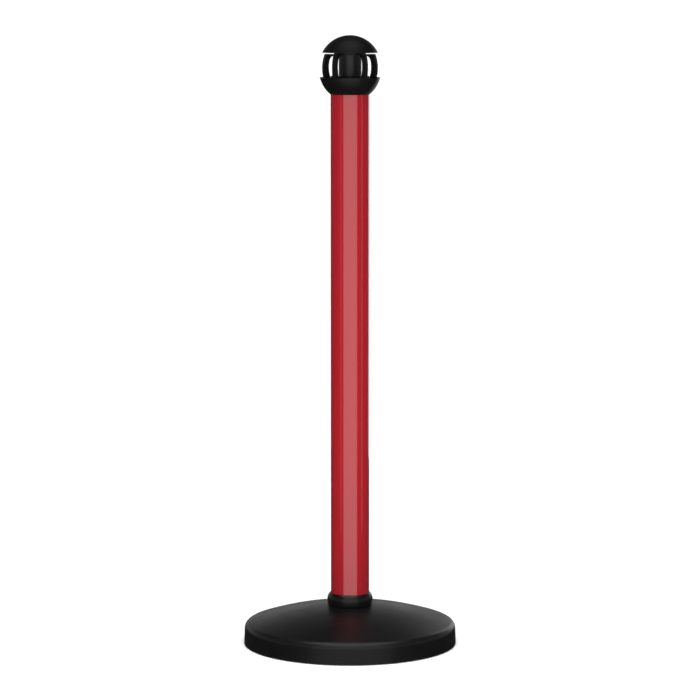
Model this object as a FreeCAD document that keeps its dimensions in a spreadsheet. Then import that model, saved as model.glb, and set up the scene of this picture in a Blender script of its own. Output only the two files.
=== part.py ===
import FreeCAD
import Part
import Sketcher
import math
import os
import re

# A belt post: a weighted round base, a tube, and a ball head that is open round its middle.
# The head holds a sprung reel of belt between eight upright hooks.
# Millimetres, +Z up, the origin on the floor under the middle of the base.

SIZES = {
    # the whole post
    "overall_height": 1000,
    "base_radius": 175,
    "tube_radius": 31.5,
    "ball_radius": 50.3,
    # base cover
    "cover_lift": 1.5,
    "cover_wall": 2.5,
    "cover_draft": 1,
    "cover_wall_rise": 26,
    "cover_rim_round": 11,
    "crown_height": 63.8,
    "crown_curve": 570,
    "crown_land": 7,
    "cover_hole_gap": 0.8,
    # base weight, foot and bolt
    "weight_lift": 3,
    "weight_gap": 1.5,
    "weight_thickness": 10,
    "weight_hub_margin": 4.5,
    "weight_hub_foot": 70,
    "weight_hub_top": 50,
    "foot_inset": 25,
    "foot_width": 10,
    "foot_groove": 2,
    "recess_radius": 19,
    "recess_depth": 13,
    "bolt_radius": 5,
    "bolt_gap": 0.5,
    "bolt_flats": 17,
    "bolt_head": 6.4,
    "nut_height": 8,
    "washer_radius": 15,
    "washer_thickness": 2.5,
    "bolt_thread_end": 4,
    # tube, its plug and collar
    "tube_wall": 1.5,
    "plug_height": 40,
    "press_gap": 0.05,
    "collar_width": 5.8,
    "collar_height": 21.5,
    "collar_gap": 0.15,
    "collar_tuck": 1.1,
    "collar_waist": 8,
    "collar_lip": 1.1,
    "collar_low_round": 32,
    "collar_top_round": 16,
    # head: bowl and dome
    "bowl_height": 27.4,
    "dome_height": 28.1,
    "neck_step": 0.3,
    "shell_wall": 2.5,
    "spigot_length": 30,
    "bowl_floor_hole": 10,
    "bowl_boss_low": 15.5,
    # cage: plate and hooks
    "cage_plate": 2.2,
    "cage_ring": 2.5,
    "cage_ring_width": 2,
    "cage_fit_gap": 0.2,
    "notch_gap": 0.3,
    "cage_hub_hole": 8.2,
    "cage_sink": 1,
    "hook_count": 4,
    "hook_spread": 13.5,
    "hook_foot_inset": 0.3,
    "hook_thickness": 5.6,
    "hook_bow_slope": 19.7,
    "hook_tip_out": 1.7,
    "hook_tip_depth": 13.8,
    "hook_tip_thickness": 2,
    "hook_shoulder": 8.4,
    "hook_depth": 9.3,
    "hook_hollow_slope": 16.8,
    "hook_corner": 9.5,
    "hook_heel_rise": 2.6,
    "hook_heel_run": 3.2,
    "hook_heel_round": 5,
    "hook_edge_round": 0.8,
    "slit": 2.9,
    # reel
    "spindle_radius": 4,
    "spindle_tail": 7,
    "spindle_end_gap": 0.5,
    "shoulder_width": 2.5,
    "shoulder_height": 1.5,
    "spindle_washer_thickness": 1.2,
    "spindle_nut_flats": 13,
    "spindle_nut_height": 4,
    "running_gap": 0.05,
    "bush_radius": 6,
    "bush_length": 10,
    "arbor_radius": 7.6,
    "arbor_lift": 2,
    "core_radius": 8,
    "flange_margin": 1.9,
    "top_flange_margin": 7.7,
    "flange_thickness": 1.5,
    "flange_bore_gap": 0.5,
    "top_flange_thickness": 2.5,
    "reel_gap": 0.5,
    "thrust_inset": 0.8,
    "thrust_width": 7,
    "thrust_gap": 0.1,
    "dome_gap": 0.4,
    "belt_width": 34,
    "belt_thickness": 0.45,
    "roll_radius": 18.1,
    "roll_bore_gap": 0.05,
    "lead_gap": 0.3,
    # power spring and its case
    "case_radius": 30,
    "case_wall": 4,
    "case_depth": 17,
    "case_floor": 2,
    "spring_strip": 0.6,
    "spring_pitch": 2.2,
    "spring_height": 9,
    "spring_lift": 1,
    "spring_turns": 7,
    # small screws
    "screw_radius": 1.2,
    "screw_clearance": 0.3,
    "screw_head": 2.5,
    "screw_head_height": 1.5,
    "screw_length": 9,
    "boss_radius": 3.5,
    "cage_screw_inset": 8.45,
    "dome_screw_pitch": 28,
    # dome plate and insert
    "dome_rim_wall": 3.7,
    "dome_plate_thickness": 2.5,
    "dome_plate_gap": 0.2,
    "dome_boss_gap": 0.6,
    "insert_radius": 6.5,
    "insert_length": 10,
    # belt mouth, end clip and tongue
    "mouth_gap": 3.7,
    "mouth_depth": 3.5,
    "mouth_width": 13,
    "mouth_slot": 2.8,
    "mouth_top_gap": 0.9,
    "clip_gap": 0.6,
    "clip_lift": 0.8,
    "clip_top_gap": 2,
    "clip_width": 16,
    "clip_depth": 9.8,
    "clip_slot": 4.4,
    "clip_round": 2.5,
    "clip_pin_radius": 1.2,
    "clip_pin_inset": 4,
    "clip_pin_end": 0.6,
    "clip_pin_gap": 0.02,
    "loop_gap": 0.05,
    "ear_thickness": 1.4,
    "ear_height": 4.2,
    "tongue_gap": 0.15,
    "tongue_barrel": 1.9,
    "tongue_thickness": 2.2,
    "tongue_length": 26,
    "tongue_round": 3,
    "eye_width": 8,
    "eye_length": 13,
    "eye_margin": 2.5,
}

doc = FreeCAD.newDocument("BeltPost")
sheet = doc.addObject("Spreadsheet::Sheet", "Sizes")
for row, (name, number) in enumerate(SIZES.items(), start=1):
    sheet.set("A%d" % row, name)
    sheet.set("B%d" % row, str(number))
    sheet.setAlias("B%d" % row, name)
doc.recompute()

pieces = []


def cells(text):
    """Point every size name in an expression at its cell."""
    return re.sub(r"[a-z][a-z0-9_]*", lambda word: "Sizes." + word[0] if word[0] in SIZES else word[0], text)


def value(text):
    """Work an expression out from the sheet."""
    result = sheet.evalExpression(cells(text))
    return float(getattr(result, "Value", result))


def bind(item, **properties):
    """Bind properties to expressions; a double underscore in a name stands for a dot."""
    for name, text in properties.items():
        item.setExpression(name.replace("__", "."), cells(text))
    return item


def keep(item, label, lift="0"):
    """Name a finished sub-part and raise it to its place."""
    item.Label = label
    if lift != "0":
        bind(item, Placement__Base__z=lift)
    pieces.append(item)
    return item


def origin_item(body, role):
    return [item for item in body.Origin.OriginFeatures if item.Role == role][0]


def arc_middle(start, end, radius):
    """The middle of the shorter arc; a positive radius bulges to the right of start to end."""
    chord = end.sub(start)
    half = chord.Length / 2
    rise = abs(radius) - math.sqrt(radius ** 2 - half ** 2)
    right = FreeCAD.Vector(chord.y, -chord.x, 0).normalize()
    return (start + end) * 0.5 + right * math.copysign(rise, radius)


def draw(body, role, label, corners):
    """A closed sketch. A corner is (across, up), or (across, up, radius) where an arc starts."""
    sketch = body.newObject("Sketcher::SketchObject", label)
    sketch.AttachmentSupport = [(origin_item(body, role), "")]
    sketch.MapMode = "FlatFace"
    points = [FreeCAD.Vector(value(corner[0]), value(corner[1]), 0) for corner in corners]
    ends = []
    for index, corner in enumerate(corners):
        start = points[index]
        end = points[(index + 1) % len(points)]
        if len(corner) == 2:
            sketch.addGeometry(Part.LineSegment(start, end), False)
            ends.append((1, 2))
            continue
        radius = value(corner[2])
        sketch.addGeometry(Part.Arc(start, arc_middle(start, end, radius), end), False)
        ends.append((1, 2) if radius > 0 else (2, 1))
    for index, corner in enumerate(corners):
        following = (index + 1) % len(corners)
        sketch.addConstraint(
            Sketcher.Constraint("Coincident", index, ends[index][1], following, ends[following][0])
        )
        for kind, axis, text in (("DistanceX", -2, corner[0]), ("DistanceY", -1, corner[1])):
            place = value(text)
            if abs(place) < 1e-9:
                sketch.addConstraint(Sketcher.Constraint("PointOnObject", index, ends[index][0], axis))
                continue
            held = sketch.addConstraint(Sketcher.Constraint(kind, -1, 1, index, ends[index][0], place))
            sketch.setExpression("Constraints[%d]" % held, cells(text))
        if len(corner) == 3:
            held = sketch.addConstraint(Sketcher.Constraint("Radius", index, abs(value(corner[2]))))
            sketch.setExpression("Constraints[%d]" % held, cells(corner[2].lstrip("-")))
    return sketch


def revolve(body, sketch):
    feature = body.newObject("PartDesign::Revolution", body.Name + "_turn")
    feature.Profile = sketch
    feature.ReferenceAxis = (sketch, ["V_Axis"])
    feature.Angle = 360
    return feature


def turned(label, corners, lift="0"):
    """A body turned about Z from an outline of (radius, height) corners."""
    body = doc.addObject("PartDesign::Body", label)
    revolve(body, draw(body, "XZ_Plane", label + "_outline", corners))
    return keep(body, label, lift)


def ring(label, inner, outer, low, high, lift="0"):
    """A flat-ended ring or sleeve about Z."""
    return turned(label, [(inner, low), (outer, low), (outer, high), (inner, high)], lift)


def shaped(body, kind, label, across="0", along="0", up="0", turn=None, **dims):
    """Add or take away a primitive, placed from the body's own XY plane."""
    feature = body.newObject("PartDesign::" + kind, label)
    feature.AttachmentSupport = [(origin_item(body, "XY_Plane"), "")]
    feature.MapMode = "FlatFace"
    if turn is not None:
        feature.AttachmentOffset = FreeCAD.Placement(FreeCAD.Vector(), FreeCAD.Rotation(turn[0], turn[1]))
    places = {"AttachmentOffset__Base__x": across, "AttachmentOffset__Base__y": along}
    places["AttachmentOffset__Base__z"] = up
    bind(feature, **places, **dims)
    return feature


def repeat(body, label, features, count):
    """Repeat features evenly round Z."""
    pattern = body.newObject("PartDesign::PolarPattern", label)
    pattern.Originals = features
    pattern.Axis = (origin_item(body, "Z_Axis"), [""])
    pattern.Angle = 360
    pattern.Occurrences = count
    body.Tip = pattern
    return pattern


def soften(body, label, radius, chosen):
    """Round the chosen edges of a body."""
    doc.recompute()
    last = body.Tip
    names = ["Edge%d" % (i + 1) for i, edge in enumerate(last.Shape.Edges) if chosen(edge)]
    feature = body.newObject("PartDesign::Fillet", label)
    feature.Base = (last, names)
    bind(feature, Radius=radius)
    body.Tip = feature
    return feature


def upright(edge):
    """True for a straight edge along Z."""
    if not isinstance(edge.Curve, Part.Line):
        return False
    return abs(edge.tangentAt(edge.FirstParameter).z) > 0.999


def hexagon(label, flats, low, height):
    prism = doc.addObject("Part::Prism", label)
    prism.Polygon = 6
    bind(prism, Circumradius="(%s) / 2 / cos(30)" % flats, Height=height, Placement__Base__z=low)
    return prism


def rod(label, radius, low, height):
    cylinder = doc.addObject("Part::Cylinder", label)
    bind(cylinder, Radius=radius, Height=height, Placement__Base__z=low)
    return cylinder


def joined(kind, label, base, tool, lift="0"):
    result = doc.addObject("Part::" + kind, label)
    result.Base = base
    result.Tool = tool
    return keep(result, label, lift)


def screws(label, count, first, pitch, head_low, heads_up, lift, countersunk=False):
    """Equal small screws round Z; the shank runs away from the head."""
    links = []
    for index in range(count):
        angle = first + 360 / count * index
        name = "%s_%d" % (label, index + 1)
        shank = rod(name + "_shank", "screw_radius", "-screw_length", "screw_length")
        if countersunk:
            head = doc.addObject("Part::Cone", name + "_head")
            bind(head, Radius1="screw_radius", Radius2="screw_head", Height="screw_head_height")
            bind(head, Placement__Base__z="-screw_head_height")
        else:
            head = rod(name + "_head", "screw_head", "0", "screw_head_height")
        screw = doc.addObject("Part::Fuse", name)
        screw.Base = head
        screw.Tool = shank
        if not heads_up:
            screw.Placement.Rotation = FreeCAD.Rotation(FreeCAD.Vector(1, 0, 0), 180)
        places = {"Placement__Base__x": "(%s) * cos(%g)" % (pitch, angle)}
        places["Placement__Base__y"] = "(%s) * sin(%g)" % (pitch, angle)
        places["Placement__Base__z"] = head_low
        bind(screw, **places)
        links.append(screw)
    group = doc.addObject("Part::Compound", label)
    group.Links = links
    return keep(group, label, lift)


# Heights and radii that several sub-parts share. Head heights are above the top of the tube.
# The window between bowl and dome is as high as the reel that turns in it.
WINDOW = "(belt_width + 3 * reel_gap + flange_thickness + top_flange_thickness + dome_gap)"
HEAD = "overall_height - bowl_height - dome_height - " + WINDOW
PLATE_LOW = "bowl_height - cage_plate"
DOME_LOW = "bowl_height + " + WINDOW
HOOK_TOP = "bowl_height - slit + " + WINDOW
CASE_LOW = "bowl_height - cage_plate - case_depth"
SPOOL_LOW = "bowl_height - cage_plate - case_depth + case_floor + arbor_lift"
FLANGE_LOW = "bowl_height + reel_gap"
CORE_TOP = "bowl_height + 2 * reel_gap + reel_gap + flange_thickness + belt_width"
BELT_LOW = "bowl_height + 2 * reel_gap + flange_thickness"
BALL_CENTRE = "sqrt(ball_radius ^ 2 - (tube_radius + neck_step) ^ 2)"
DOME_CENTRE = "(bowl_height + dome_height - ball_radius + " + WINDOW + ")"
DOME_RIM = "sqrt(ball_radius ^ 2 - (ball_radius - dome_height) ^ 2)"
TUBE_BORE = "tube_radius - tube_wall"
FOOT = "(base_radius - foot_inset)"
COLLAR = "(tube_radius + collar_width)"
CASE_PITCH = "(case_radius - case_wall / 2)"
SPOOL_FLANGE = "(roll_radius + flange_margin)"
TOP_FLANGE = "(roll_radius + top_flange_margin)"
DOME_PLATE = "(" + DOME_RIM + " - dome_rim_wall)"
MOUTH = "(roll_radius + top_flange_margin + mouth_gap)"


def bowl_at(height, inset="0"):
    """The bowl's radius at a height, inset from its outer ball."""
    return "sqrt((ball_radius - %s) ^ 2 - (%s - (%s)) ^ 2)" % (inset, BALL_CENTRE, height)


CAGE_PITCH = "(" + bowl_at("bowl_height") + " - cage_screw_inset)"


def make_foot_ring():
    inner = FOOT + " - foot_width / 2"
    outer = FOOT + " + foot_width / 2"
    ring("rubber_foot_ring", inner, outer, "0", "weight_lift + foot_groove")


def make_base_weight():
    inner = FOOT + " - foot_width / 2 - press_gap"
    outer = FOOT + " + foot_width / 2 + press_gap"
    edge = "base_radius - cover_draft - cover_wall - weight_gap"
    top = "weight_lift + weight_thickness"
    turned("base_weight", [
        ("bolt_radius + bolt_gap", "weight_lift + recess_depth"),
        ("recess_radius", "weight_lift + recess_depth"),
        ("recess_radius", "weight_lift"),
        (inner, "weight_lift"),
        (inner, "weight_lift + foot_groove"),
        (outer, "weight_lift + foot_groove"),
        (outer, "weight_lift"),
        (edge, "weight_lift"),
        (edge, top),
        ("weight_hub_foot", top),
        ("tube_radius + weight_hub_margin", "weight_hub_top"),
        ("bolt_radius + bolt_gap", "weight_hub_top"),
    ])


def make_base_cover():
    """A moulded shell: drafted wall, rounded rim, shallow crown and a flat land round the tube."""
    body = doc.addObject("PartDesign::Body", "base_cover")
    sketch = body.newObject("Sketcher::SketchObject", "base_cover_outline")
    sketch.AttachmentSupport = [(origin_item(body, "XZ_Plane"), "")]
    sketch.MapMode = "FlatFace"
    wall_top = value("base_radius - cover_draft")
    rise = value("cover_wall_rise")
    rim = value("cover_rim_round")
    wall = value("cover_wall")
    land = value("tube_radius + crown_land")
    hole = value("tube_radius + cover_hole_gap")
    crown = value("crown_height")
    curve = value("crown_curve")
    rim_centre = FreeCAD.Vector(wall_top - rim, rise, 0)
    land_end = FreeCAD.Vector(land, crown, 0)
    # The crown's centre lies at the crown's radius from the land and at that less the rim's from the rim.
    across = rim_centre.sub(land_end)
    along = (curve ** 2 - (curve - rim) ** 2 + across.Length ** 2) / (2 * across.Length)
    below = math.sqrt(curve ** 2 - along ** 2)
    unit = across.normalize()
    crown_centre = land_end + unit * along + FreeCAD.Vector(unit.y, -unit.x, 0) * below
    outward = rim_centre.sub(crown_centre).normalize()
    angle = math.atan2(outward.y, outward.x)
    land_angle = math.atan2(crown - crown_centre.y, land - crown_centre.x)
    inner_land_angle = math.acos((land - crown_centre.x) / (curve - wall))
    inner_crown = crown_centre.y + (curve - wall) * math.sin(inner_land_angle)
    up = FreeCAD.Vector(0, 0, 1)

    def line(ax, ay, bx, by):
        start = FreeCAD.Vector(ax, ay, 0)
        return sketch.addGeometry(Part.LineSegment(start, FreeCAD.Vector(bx, by, 0)), False)

    def arc(centre, radius, first, last):
        circle = Part.Circle(centre, up, radius)
        return sketch.addGeometry(Part.ArcOfCircle(circle, first, last), False)

    foot = value("cover_lift")
    outer_wall = line(wall_top + value("cover_draft"), foot, wall_top, rise)
    outer_rim = arc(rim_centre, rim, 0, angle)
    outer_crown = arc(crown_centre, curve, angle, land_angle)
    outer_land = line(land, crown, hole, crown)
    hole_edge = line(hole, crown, hole, inner_crown)
    inner_land = line(hole, inner_crown, land, inner_crown)
    inner_arc = arc(crown_centre, curve - wall, angle, inner_land_angle)
    inner_rim = arc(rim_centre, rim - wall, 0, angle)
    inner_wall = line(wall_top - wall, rise, wall_top + value("cover_draft") - wall, foot)
    foot_edge = line(wall_top + value("cover_draft") - wall, foot, wall_top + value("cover_draft"), foot)

    def tie(kind, *items):
        return sketch.addConstraint(Sketcher.Constraint(kind, *items))

    def hold(kind, items, text):
        held = sketch.addConstraint(Sketcher.Constraint(kind, *items, value(text)))
        sketch.setExpression("Constraints[%d]" % held, cells(text))

    tie("Coincident", outer_wall, 2, outer_rim, 1)
    tie("Tangent", outer_rim, 2, outer_crown, 1)
    tie("Coincident", outer_crown, 2, outer_land, 1)
    tie("Coincident", outer_land, 2, hole_edge, 1)
    tie("Coincident", hole_edge, 2, inner_land, 1)
    tie("Coincident", inner_land, 2, inner_arc, 2)
    tie("Tangent", inner_arc, 1, inner_rim, 2)
    tie("Coincident", inner_rim, 1, inner_wall, 1)
    tie("Coincident", inner_wall, 2, foot_edge, 1)
    tie("Coincident", foot_edge, 2, outer_wall, 1)
    tie("Coincident", outer_rim, 3, inner_rim, 3)
    tie("Coincident", outer_crown, 3, inner_arc, 3)
    for edge in (outer_land, inner_land, foot_edge):
        tie("Horizontal", edge)
    tie("Vertical", hole_edge)
    hold("DistanceX", (-1, 1, outer_wall, 1), "base_radius")
    hold("DistanceY", (-1, 1, outer_wall, 1), "cover_lift")
    hold("DistanceX", (-1, 1, outer_wall, 2), "base_radius - cover_draft")
    hold("DistanceY", (-1, 1, outer_wall, 2), "cover_wall_rise")
    hold("DistanceX", (-1, 1, inner_wall, 2), "base_radius - cover_wall")
    hold("DistanceX", (-1, 1, inner_wall, 1), "base_radius - cover_draft - cover_wall")
    hold("DistanceY", (-1, 1, inner_wall, 1), "cover_wall_rise")
    hold("DistanceX", (-1, 1, outer_rim, 3), "base_radius - cover_draft - cover_rim_round")
    hold("DistanceY", (-1, 1, outer_rim, 3), "cover_wall_rise")
    hold("Radius", (outer_crown,), "crown_curve")
    hold("DistanceX", (-1, 1, outer_crown, 2), "tube_radius + crown_land")
    hold("DistanceY", (-1, 1, outer_crown, 2), "crown_height")
    hold("DistanceX", (-1, 1, inner_arc, 2), "tube_radius + crown_land")
    hold("DistanceX", (-1, 1, hole_edge, 1), "tube_radius + cover_hole_gap")
    revolve(body, sketch)
    keep(body, "base_cover")


def make_base_fixings():
    washer_low = "weight_lift + recess_depth - washer_thickness"
    hole = "bolt_radius + bolt_gap / 2"
    plug_top = "weight_hub_top + plug_height"
    ring("base_washer", hole, "washer_radius", washer_low, "weight_lift + recess_depth")
    ring("plug_washer", hole, "washer_radius", plug_top, plug_top + " + washer_thickness")
    head_low = washer_low + " - bolt_head"
    length = plug_top + " + washer_thickness + nut_height + bolt_thread_end - (%s)" % washer_low
    head = hexagon("base_bolt_head", "bolt_flats", head_low, "bolt_head")
    joined("Fuse", "base_bolt", head, rod("base_bolt_shank", "bolt_radius", washer_low, length))
    nut_low = plug_top + " + washer_thickness"
    blank = hexagon("base_nut_blank", "bolt_flats", nut_low, "nut_height")
    joined("Cut", "base_nut", blank, rod("base_nut_bore", "bolt_radius", nut_low, "nut_height"))


def make_tube():
    ring("tube", TUBE_BORE, "tube_radius", "weight_hub_top", HEAD)
    plug = TUBE_BORE + " - press_gap"
    ring("tube_plug", "bolt_radius + bolt_gap", plug, "weight_hub_top", "weight_hub_top + plug_height")


def make_collar():
    bore = "tube_radius + collar_gap"
    top = "crown_height + collar_height"
    turned("base_collar", [
        (bore, "crown_height"),
        (COLLAR + " - collar_tuck", "crown_height", "collar_low_round"),
        (COLLAR, "crown_height + collar_waist", "collar_top_round"),
        ("tube_radius + collar_lip", top),
        (bore, top),
    ])


def make_head_bowl():
    spigot = TUBE_BORE + " - press_gap"
    bore = TUBE_BORE + " - press_gap - shell_wall"
    body = turned("head_bowl", [
        (bore, "-spigot_length"),
        (spigot, "-spigot_length"),
        (spigot, "0"),
        ("tube_radius + neck_step", "0", "ball_radius"),
        (bowl_at(PLATE_LOW), PLATE_LOW),
        (bowl_at(PLATE_LOW, "shell_wall"), PLATE_LOW, "-(ball_radius - shell_wall)"),
        (bowl_at("shell_wall", "shell_wall"), "shell_wall"),
        ("bowl_floor_hole", "shell_wall"),
        ("bowl_floor_hole", "0"),
        (bore, "0"),
    ], HEAD)
    diagonal = CAGE_PITCH + " * cos(45)"
    boss_height = PLATE_LOW + " - bowl_boss_low"
    boss = shaped(body, "AdditiveCylinder", "bowl_boss", diagonal, diagonal, "bowl_boss_low",
                  Radius="boss_radius", Height=boss_height)
    repeat(body, "bowl_bosses", [boss], 4)
    pilot = shaped(body, "SubtractiveCylinder", "bowl_pilot", diagonal, diagonal,
                   "bowl_height - screw_length", Radius="screw_radius", Height="screw_length")
    repeat(body, "bowl_pilots", [pilot], 4)


def hook_outline():
    """One crescent hook: bowed outside, hollow inside, with a flat free tip and a flared heel."""
    foot = "bowl_height - cage_sink"
    tip = DOME_RIM + " + hook_tip_out"
    throat = bowl_at("bowl_height") + " - hook_depth"
    heel = bowl_at(foot) + " - hook_foot_inset"
    shoulder = HOOK_TOP + " - hook_shoulder"
    hollow_foot = "bowl_height + hook_heel_rise"
    # Both long curves leave their chords at a set slope, so they keep their shape at any height.
    bow_chord = "sqrt((%s - (%s)) ^ 2 + (%s - (%s)) ^ 2)" % (tip, heel, HOOK_TOP, foot)
    bow = "(%s / 2 / sin(hook_bow_slope))" % bow_chord
    hollow = "((%s - (%s)) / 2 / sin(hook_hollow_slope))" % (shoulder, hollow_foot)
    return [
        (heel, foot, bow),
        (tip, HOOK_TOP),
        (tip + " - hook_tip_depth", HOOK_TOP),
        (tip + " - hook_tip_depth", HOOK_TOP + " - hook_tip_thickness", "-hook_corner"),
        (throat, shoulder, "-" + hollow),
        (throat, hollow_foot, "-hook_heel_round"),
        (throat + " - hook_heel_run", foot),
    ]


def make_hook_cage():
    """The plate that closes the bowl, moulded with four pairs of upright hooks."""
    ring_low = PLATE_LOW + " - cage_ring"
    ring_out = bowl_at(ring_low, "shell_wall") + " - cage_fit_gap"
    ring_in = ring_out + " - cage_ring_width"
    body = turned("hook_cage", [
        ("cage_hub_hole", PLATE_LOW),
        (ring_in, PLATE_LOW),
        (ring_in, ring_low),
        (ring_out, ring_low),
        (ring_out, PLATE_LOW),
        (bowl_at(PLATE_LOW), PLATE_LOW),
        (bowl_at("bowl_height"), "bowl_height"),
        ("cage_hub_hole", "bowl_height"),
    ], HEAD)
    diagonal = CAGE_PITCH + " * cos(45)"
    notch = shaped(body, "SubtractiveCylinder", "ring_notch", diagonal, diagonal, ring_low + " - 1",
                   Radius="boss_radius + notch_gap", Height="cage_ring + 1")
    repeat(body, "ring_notches", [notch], 4)
    for name, angle in (("left", "45 - hook_spread"), ("right", "45 + hook_spread")):
        sketch = draw(body, "XZ_Plane", name + "_hook_outline", hook_outline())
        turn = FreeCAD.Rotation(FreeCAD.Vector(0, 1, 0), 30)
        sketch.AttachmentOffset = FreeCAD.Placement(FreeCAD.Vector(), turn)
        bind(sketch, AttachmentOffset__Rotation__Angle=angle)
        pad = body.newObject("PartDesign::Pad", name + "_hook")
        pad.Profile = sketch
        pad.SideType = "Symmetric"
        bind(pad, Length="hook_thickness")
        repeat(body, name + "_hooks", [pad], int(value("hook_count")))
    for name, pitch, count, angle in (
        ("cage_hole", CAGE_PITCH, 4, 45),
        ("case_hole", CASE_PITCH, 3, 30),
    ):
        hole = shaped(body, "SubtractiveCylinder", name, "%s * cos(%d)" % (pitch, angle),
                      "%s * sin(%d)" % (pitch, angle), "bowl_height - 2 * cage_plate",
                      Radius="screw_radius + screw_clearance", Height="3 * cage_plate")
        repeat(body, name + "s", [hole], count)
    above = value("bowl_height") + 0.05

    def on_hook(edge):
        return edge.BoundBox.ZMin > above and edge.Length > 1

    soften(body, "hook_rounding", "hook_edge_round", on_hook)


def make_spring_case():
    bore = "spindle_radius + running_gap"
    inside = "case_radius - case_wall"
    body = turned("spring_case", [
        (bore, CASE_LOW),
        ("case_radius", CASE_LOW),
        ("case_radius", PLATE_LOW),
        (inside, PLATE_LOW),
        (inside, CASE_LOW + " + case_floor"),
        (bore, CASE_LOW + " + case_floor"),
    ], HEAD)
    pilot = shaped(body, "SubtractiveCylinder", "case_pilot", CASE_PITCH + " * cos(30)",
                   CASE_PITCH + " * sin(30)", "bowl_height - screw_length",
                   Radius="screw_radius", Height="screw_length")
    repeat(body, "case_pilots", [pilot], 3)


def make_power_spring():
    """A flat spiral of half circles whose centres step from side to side."""
    pitch = value("spring_pitch")
    half_strip = value("spring_strip / 2")
    first = value("arbor_radius + spring_strip / 2 + reel_gap")
    count = int(2 * value("spring_turns"))
    outer = []
    inner = []
    for index in range(count):
        side = 1 if index % 2 == 0 else -1
        centre = FreeCAD.Vector(0 if side == 1 else pitch / 2, 0, 0)
        radius = first + pitch / 2 * index
        for edges, offset in ((outer, half_strip), (inner, -half_strip)):
            start = centre + FreeCAD.Vector(side * (radius + offset), 0, 0)
            middle = centre + FreeCAD.Vector(0, side * (radius + offset), 0)
            end = centre - FreeCAD.Vector(side * (radius + offset), 0, 0)
            edges.append(Part.Arc(start, middle, end).toShape())
    outer_ends = (outer[0].Vertexes[0].Point, outer[-1].Vertexes[-1].Point)
    inner_ends = (inner[0].Vertexes[0].Point, inner[-1].Vertexes[-1].Point)
    caps = [Part.makeLine(outer_ends[0], inner_ends[0]), Part.makeLine(outer_ends[1], inner_ends[1])]
    outline = Part.Wire(Part.__sortEdges__(outer + caps + inner))
    spring = doc.addObject("Part::Feature", "power_spring")
    spring.Shape = Part.Face(outline).extrude(FreeCAD.Vector(0, 0, value("spring_height")))
    keep(spring, "power_spring", HEAD + " + " + SPOOL_LOW + " + spring_lift")


def make_spindle():
    shoulder = CASE_LOW + " + case_floor"
    top = DOME_LOW + " + insert_length - spindle_end_gap"
    turned("spindle", [
        ("0", CASE_LOW + " - spindle_tail"),
        ("spindle_radius", CASE_LOW + " - spindle_tail"),
        ("spindle_radius", shoulder),
        ("spindle_radius + shoulder_width", shoulder),
        ("spindle_radius + shoulder_width", shoulder + " + shoulder_height"),
        ("spindle_radius", shoulder + " + shoulder_height"),
        ("spindle_radius", top),
        ("0", top),
    ], HEAD)
    bore = "spindle_radius + running_gap"
    washer_low = CASE_LOW + " - spindle_washer_thickness"
    ring("spindle_washer", bore, "2 * spindle_radius", washer_low, CASE_LOW, HEAD)
    nut_low = washer_low + " - spindle_nut_height"
    blank = hexagon("spindle_nut_blank", "spindle_nut_flats", nut_low, "spindle_nut_height")
    hole = rod("spindle_nut_bore", "spindle_radius", nut_low, "spindle_nut_height")
    joined("Cut", "spindle_nut", blank, hole, HEAD)


def make_reel():
    flange_high = FLANGE_LOW + " + flange_thickness"
    turned("spool", [
        ("bush_radius", SPOOL_LOW),
        ("arbor_radius", SPOOL_LOW),
        ("arbor_radius", FLANGE_LOW),
        (SPOOL_FLANGE, FLANGE_LOW),
        (SPOOL_FLANGE, flange_high),
        ("core_radius", flange_high),
        ("core_radius", CORE_TOP),
        ("bush_radius", CORE_TOP),
    ], HEAD)
    bore = "spindle_radius + running_gap"
    ring("spool_top_flange", "spindle_radius + flange_bore_gap", TOP_FLANGE, CORE_TOP,
         CORE_TOP + " + top_flange_thickness", HEAD)
    ring("lower_bush", bore, "bush_radius", SPOOL_LOW, SPOOL_LOW + " + bush_length", HEAD)
    ring("upper_bush", bore, "bush_radius", CORE_TOP + " - bush_length", CORE_TOP, HEAD)
    ring("thrust_washer", "cage_hub_hole + thrust_inset", "cage_hub_hole + thrust_width",
         "bowl_height", "bowl_height + reel_gap - thrust_gap", HEAD)
    belt_high = BELT_LOW + " + belt_width"
    ring("belt_roll", "core_radius + roll_bore_gap", "roll_radius", BELT_LOW, belt_high, HEAD)


def make_belt_lead():
    """The stretch of belt from its tangent on the roll to the inner edge of the mouth."""
    lead = doc.addObject("Part::Box", "belt_lead")
    circle = "(roll_radius + lead_gap)"
    goal = "(" + MOUTH + " - reel_gap)"
    length = "sqrt(%s ^ 2 - %s ^ 2)" % (goal, circle)
    lead.Placement.Rotation = FreeCAD.Rotation(FreeCAD.Vector(0, 0, 1), 30)
    bind(lead, Length="belt_thickness", Width=length, Height="belt_width")
    turn = "acos(%s / %s)" % (circle, goal)
    bind(lead, Placement__Rotation__Angle="asin(%s / %s)" % (circle, goal))
    bind(lead, Placement__Base__x="%s * sin(%s)" % (circle, turn))
    bind(lead, Placement__Base__y="%s * cos(%s)" % (circle, turn))
    keep(lead, "belt_lead", HEAD + " + " + BELT_LOW)


def make_belt_mouth():
    """The slotted guide that the belt leaves by."""
    body = doc.addObject("PartDesign::Body", "belt_mouth")
    top = DOME_LOW + " - mouth_top_gap"
    shaped(body, "AdditiveBox", "mouth_block", "-mouth_width / 2", MOUTH, "bowl_height",
           Length="mouth_width", Width="mouth_depth", Height=top + " - bowl_height")
    soften(body, "mouth_rounding", "mouth_depth * 0.45", upright)
    shaped(body, "SubtractiveBox", "mouth_slot", "-mouth_slot / 2", MOUTH + " - 1",
           BELT_LOW + " - reel_gap", Length="mouth_slot", Width="mouth_depth + 2",
           Height="belt_width + 2 * reel_gap")
    body.Tip = body.Group[-1]
    keep(body, "belt_mouth", HEAD)


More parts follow.
